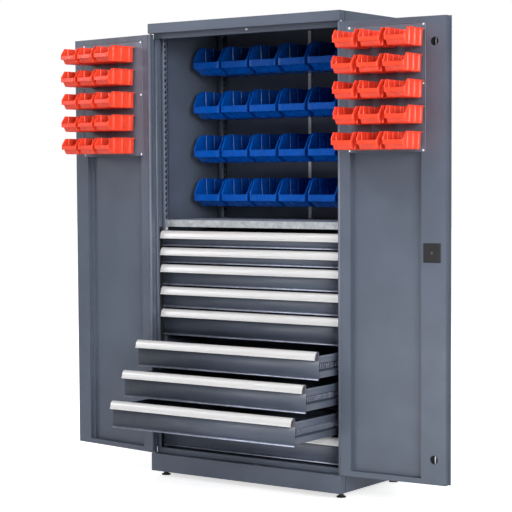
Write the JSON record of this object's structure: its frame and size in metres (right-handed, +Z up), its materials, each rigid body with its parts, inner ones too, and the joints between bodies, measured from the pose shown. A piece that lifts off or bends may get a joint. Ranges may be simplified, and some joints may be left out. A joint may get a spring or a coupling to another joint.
{
  "type": "bin cabinet",
  "caption": "Two-door steel cabinet with open-front bins on back rails and door louvre panels, a galvanised shelf and pull-out drawers with aluminium handle rails.",
  "frame": {"origin": "on the floor under the middle of the object as it stands with its doors swung open and three drawers out", "axes": "+X to the cabinet's right seen from the front, +Y to its back, +Z up"},
  "size_m": [1.9691, 0.855, 2],
  "materials": {
    "carcass_coat": "satin powder coat, slate grey",
    "door_coat": "satin powder coat, slate grey",
    "drawer_coat": "satin powder coat, slate grey",
    "zinc_plate": "galvanised sheet",
    "bright_steel": "zinc plated steel",
    "handle_aluminium": "satin anodised extrusion",
    "blue_plastic": "moulded polypropylene, blue",
    "red_plastic": "moulded polypropylene, red",
    "black_plastic": "moulded, fine grain"
  },
  "bodies": {
    "carcass": {"left_side_panel": "carcass_coat", "right_side_panel": "carcass_coat", "back_panel": "carcass_coat", "roof_panel": "carcass_coat", "floor_panel": "carcass_coat", "cap_beam": "carcass_coat", "plinth_beam": "carcass_coat", "front_left_upright": "carcass_coat", "front_right_upright": "carcass_coat", "rear_left_upright": "carcass_coat", "rear_right_upright": "carcass_coat", "bin_rails": "carcass_coat", "back_strip": "zinc_plate", "zinc_shelf": "zinc_plate", "shelf_clips": "zinc_plate", "left_drawer_rails": "zinc_plate", "right_drawer_rails": "zinc_plate", "foot_studs": "bright_steel", "hinge_pins": "bright_steel", "foot_pads": "black_plastic", "blue_bins_row_1": "blue_plastic", "blue_bins_row_2": "blue_plastic", "blue_bins_row_3": "blue_plastic", "blue_bins_row_4": "blue_plastic"},
    "left_door": {"left_door_skin": "door_coat", "left_hinge_stile": "door_coat", "left_closing_stile": "door_coat", "left_louvre_panel": "door_coat", "left_door_bins": "red_plastic"},
    "right_door": {"right_door_skin": "door_coat", "right_hinge_stile": "door_coat", "right_closing_stile": "door_coat", "right_louvre_panel": "door_coat", "right_door_bins": "red_plastic", "lock_case": "bright_steel", "lock_cover": "black_plastic", "lock_plate": "black_plastic", "rod_guides": "black_plastic"},
    "lock_lever": {"lock_handle": "black_plastic", "lock_pinion": "bright_steel"},
    "upper_bolt": {"upper_rod": "bright_steel"},
    "lower_bolt": {"lower_rod": "bright_steel"},
    "drawer_1": {"drawer_1_tray": "drawer_coat", "drawer_1_handle": "handle_aluminium"},
    "drawer_2": {"drawer_2_tray": "drawer_coat", "drawer_2_handle": "handle_aluminium"},
    "drawer_3": {"drawer_3_tray": "drawer_coat", "drawer_3_handle": "handle_aluminium"},
    "drawer_4": {"drawer_4_tray": "drawer_coat", "drawer_4_handle": "handle_aluminium"},
    "drawer_5": {"drawer_5_tray": "drawer_coat", "drawer_5_handle": "handle_aluminium"},
    "drawer_6": {"drawer_6_tray": "drawer_coat", "drawer_6_handle": "handle_aluminium"},
    "drawer_7": {"drawer_7_tray": "drawer_coat", "drawer_7_handle": "handle_aluminium"},
    "drawer_8": {"drawer_8_tray": "drawer_coat", "drawer_8_handle": "handle_aluminium"},
    "drawer_9": {"drawer_9_tray": "drawer_coat", "drawer_9_handle": "handle_aluminium"}
  },
  "joints": [
    {"name": "left_door_hinge", "type": "hinge", "parent": "carcass", "child": "left_door", "pos_m": [-0.4945, -0.0985, 1], "axis": [0, 0, -1], "range_deg": [-97.6, 2.4]},
    {"name": "right_door_hinge", "type": "hinge", "parent": "carcass", "child": "right_door", "pos_m": [0.4945, -0.0985, 1], "axis": [0, 0, 1], "range_deg": [-93.1, 6.9]},
    {"name": "lock_turn", "type": "hinge", "parent": "right_door", "child": "lock_lever", "pos_m": [0.91588, -0.07568, 1.026], "axis": [0.0541, -0.9985, 0], "range_deg": [0, 90]},
    {"name": "upper_bolt_slide", "type": "slide", "parent": "right_door", "child": "upper_bolt", "axis": [0, 0, 1], "range_m": [0, 0.016]},
    {"name": "lower_bolt_slide", "type": "slide", "parent": "right_door", "child": "lower_bolt", "axis": [0, 0, -1], "range_m": [0, 0.016]},
    {"name": "drawer_1_slide", "type": "slide", "parent": "carcass", "child": "drawer_1", "axis": [0, -1, 0], "range_m": [0, 0.36]},
    {"name": "drawer_2_slide", "type": "slide", "parent": "carcass", "child": "drawer_2", "axis": [0, -1, 0], "range_m": [0, 0.36]},
    {"name": "drawer_3_slide", "type": "slide", "parent": "carcass", "child": "drawer_3", "axis": [0, -1, 0], "range_m": [0, 0.36]},
    {"name": "drawer_4_slide", "type": "slide", "parent": "carcass", "child": "drawer_4", "axis": [0, -1, 0], "range_m": [0, 0.36]},
    {"name": "drawer_5_slide", "type": "slide", "parent": "carcass", "child": "drawer_5", "axis": [0, -1, 0], "range_m": [0, 0.36]},
    {"name": "drawer_6_slide", "type": "slide", "parent": "carcass", "child": "drawer_6", "axis": [0, -1, 0], "range_m": [-0.177, 0.183]},
    {"name": "drawer_7_slide", "type": "slide", "parent": "carcass", "child": "drawer_7", "axis": [0, -1, 0], "range_m": [-0.271, 0.089]},
    {"name": "drawer_8_slide", "type": "slide", "parent": "carcass", "child": "drawer_8", "axis": [0, -1, 0], "range_m": [-0.35, 0.01]},
    {"name": "drawer_9_slide", "type": "slide", "parent": "carcass", "child": "drawer_9", "axis": [0, -1, 0], "range_m": [0, 0.36]}
  ],
  "couplings": [
    {"joint": "upper_bolt_slide", "follows": "lock_turn", "m_per_rad": 0.010186},
    {"joint": "lower_bolt_slide", "follows": "lock_turn", "m_per_rad": 0.010186}
  ]
}
